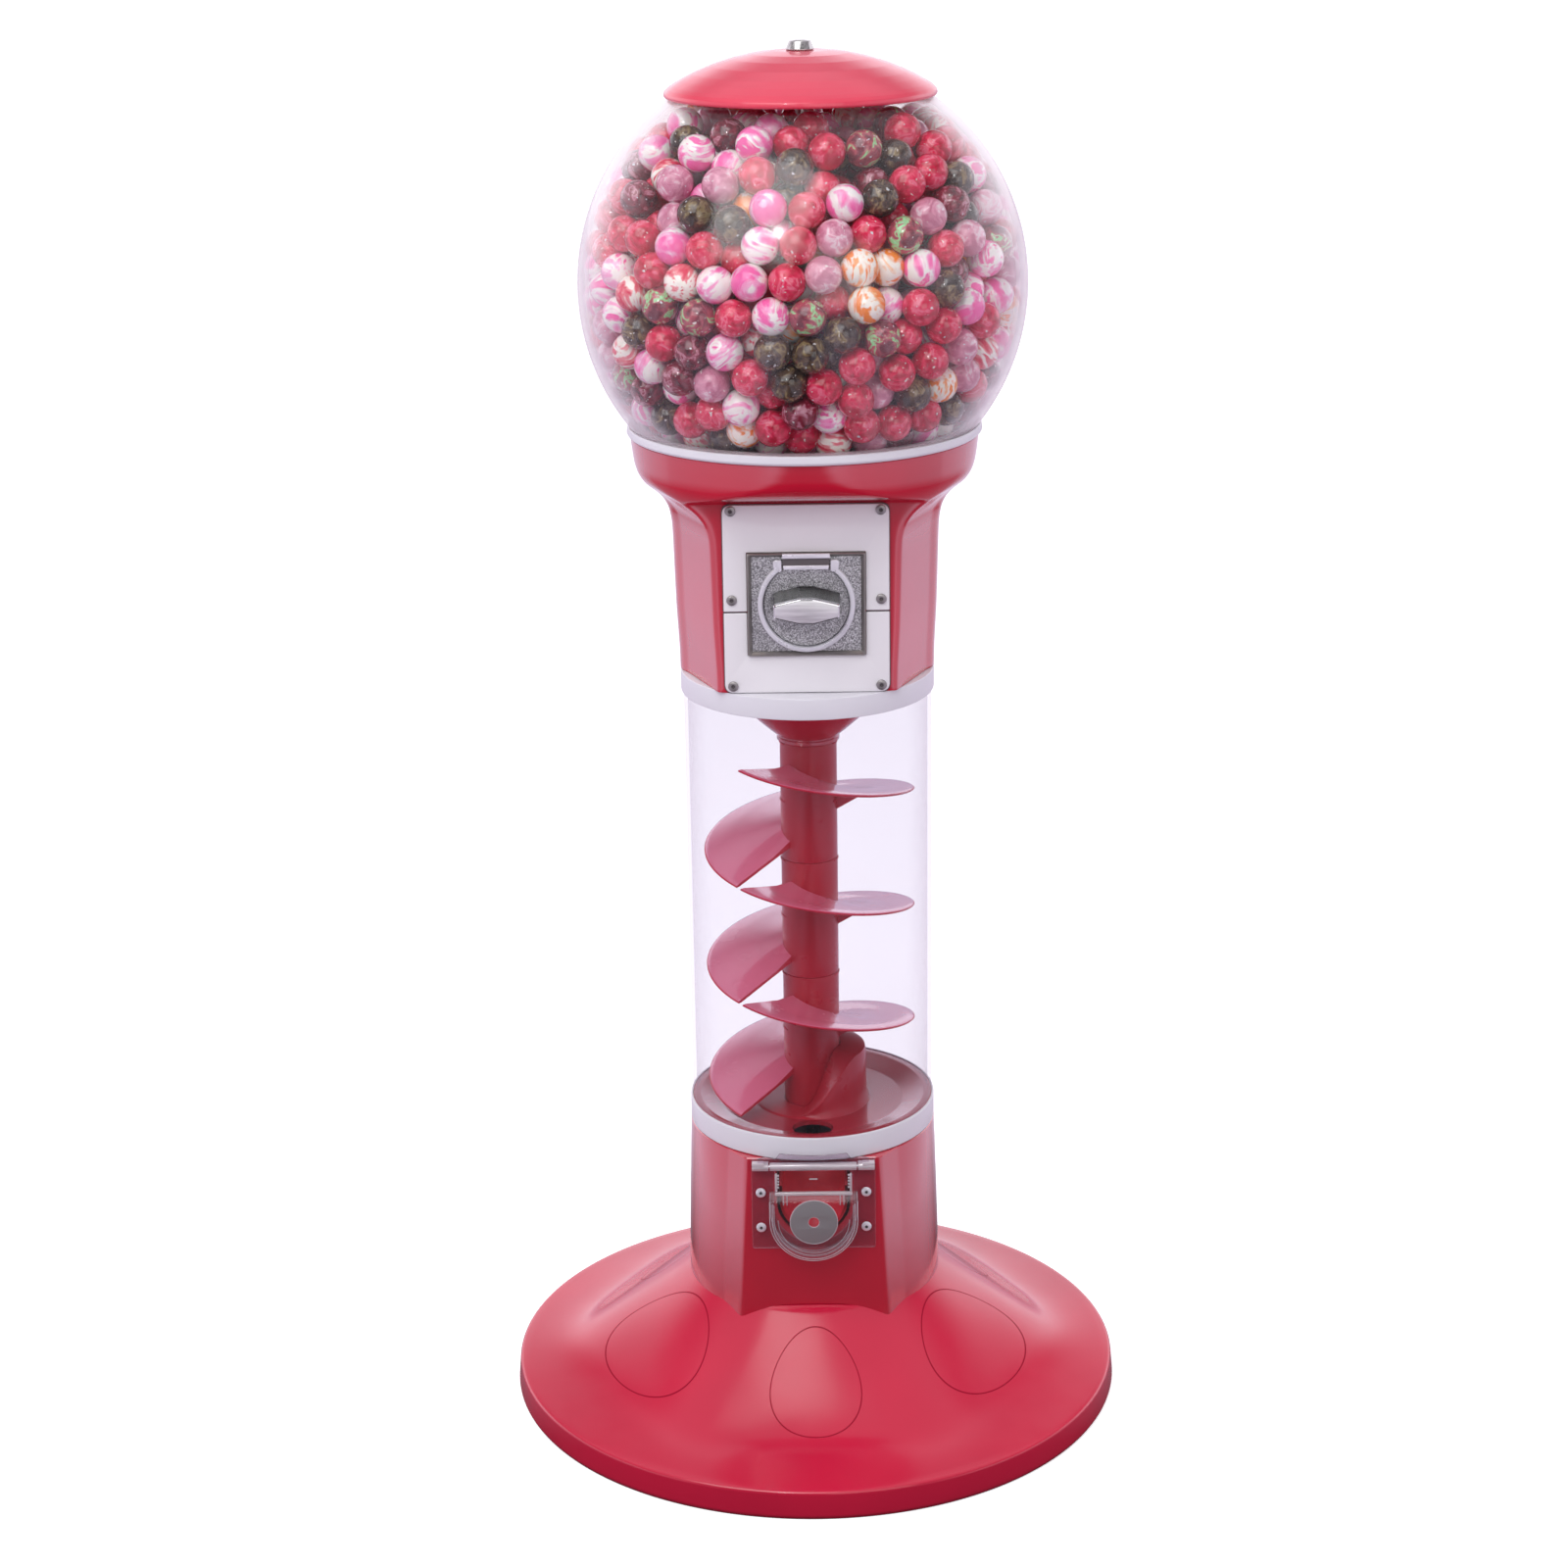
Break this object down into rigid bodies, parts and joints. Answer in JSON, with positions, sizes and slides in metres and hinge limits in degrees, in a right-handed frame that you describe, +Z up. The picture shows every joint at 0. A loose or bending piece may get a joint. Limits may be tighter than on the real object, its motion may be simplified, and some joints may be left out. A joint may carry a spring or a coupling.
{
  "type": "gumball machine",
  "caption": "Globe vending machine on a clear tube with a spiral ramp, a coin dial, a hinged delivery flap and a broad round base",
  "frame": {"origin": "middle of the base's foot, on the surface that the machine stands on", "axes": "+Z up, front with the coin mechanism faces -Y, +X to its right as seen from the front"},
  "size_m": [0.486, 0.486, 1.0662],
  "materials": {
    "red_cast": "smooth gloss paint",
    "red_shell": "moulded, satin gloss",
    "red_spiral": "moulded, satin gloss",
    "white_ring": "moulded, satin",
    "clear_tube": "clear, polished",
    "clear_globe": "clear, polished",
    "clear_chute": "clear, polished",
    "front_plate": "satin powder coat",
    "zinc": "die cast, pebbled",
    "chrome": "polished",
    "steel": "plated",
    "sheet_metal": "plated sheet",
    "disc_steel": "matt grey",
    "white_moulding": "moulded",
    "gumballs": "glossy sugar shell"
  },
  "bodies": {
    "stand": {"base": "red_cast", "pedestal": "red_shell", "mechanism_housing": "red_shell", "exit_chute": "red_shell", "spiral_floor": "red_spiral", "spiral_section_1": "red_spiral", "spiral_section_2": "red_spiral", "spiral_section_3": "red_spiral", "spiral_ceiling": "red_spiral", "lower_tube_ring": "white_ring", "upper_tube_ring": "white_ring", "globe_ring": "white_ring", "clear_tube": "clear_tube", "globe": "clear_globe", "chute_bracket": "clear_chute", "upper_front_plate": "front_plate", "lower_front_plate": "front_plate", "coin_bezel": "zinc", "coin_mech_plate": "zinc", "mechanism_body": "zinc", "escutcheon_ring": "chrome", "coin_slot_block": "chrome", "rod_washer": "steel", "rod_nut": "steel", "center_rod": "steel", "pawl_pin": "steel", "idler_axle": "steel", "flap_pin": "steel", "bracket_screw_1": "steel", "bracket_screw_2": "steel", "bracket_screw_3": "steel", "bracket_screw_4": "steel", "plate_screw_1": "steel", "plate_screw_2": "steel", "plate_screw_3": "steel", "plate_screw_4": "steel", "plate_screw_5": "steel", "plate_screw_6": "steel", "coin_bin": "sheet_metal", "wheel_deck": "sheet_metal", "hopper_plate": "sheet_metal", "drop_tube": "white_moulding", "gumballs": "gumballs"},
    "drive": {"handle": "chrome", "dial": "zinc", "handle_shaft": "steel", "ratchet_wheel": "steel", "drive_pinion": "steel"},
    "idler": {"idler_gear": "white_moulding"},
    "dispensing_wheel": {"gumball_wheel": "white_moulding", "agitator": "white_moulding"},
    "pawl": {"pawl": "steel"},
    "flap": {"chute_flap": "clear_chute", "flap_disc": "disc_steel"},
    "lid": {"lid": "red_shell", "lock_body": "chrome"},
    "lock": {"lock_plug": "chrome"}
  },
  "joints": [
    {"name": "handle_turn", "type": "hinge", "parent": "stand", "child": "drive", "pos_m": [0, -0.08, 0.668], "axis": [0, 1, 0], "continuous": true},
    {"name": "idler_turn", "type": "hinge", "parent": "stand", "child": "idler", "pos_m": [0, -0.054, 0.713], "axis": [0, 1, 0], "continuous": true},
    {"name": "wheel_turn", "type": "hinge", "parent": "stand", "child": "dispensing_wheel", "pos_m": [0, 0, 0.76], "axis": [0, 0, 1], "continuous": true},
    {"name": "pawl_lift", "type": "hinge", "parent": "stand", "child": "pawl", "pos_m": [0.026, -0.06, 0.668], "axis": [0, 1, 0], "range_deg": [0, 12], "stiffness_Nm_per_rad": 0.02},
    {"name": "flap_hinge", "type": "hinge", "parent": "stand", "child": "flap", "pos_m": [0, -0.0965, 0.2235], "axis": [-1, 0, 0], "range_deg": [0, 85]},
    {"name": "lid_lift", "type": "slide", "parent": "stand", "child": "lid", "axis": [0, 0, 1], "range_m": [0, 0.15]},
    {"name": "lock_turn", "type": "hinge", "parent": "lid", "child": "lock", "pos_m": [0, 0, 1.06], "axis": [0, 0, 1], "range_deg": [0, 90]}
  ],
  "couplings": [
    {"joint": "idler_turn", "follows": "handle_turn", "ratio": -0.25},
    {"joint": "wheel_turn", "follows": "handle_turn", "ratio": -0.16667}
  ]
}
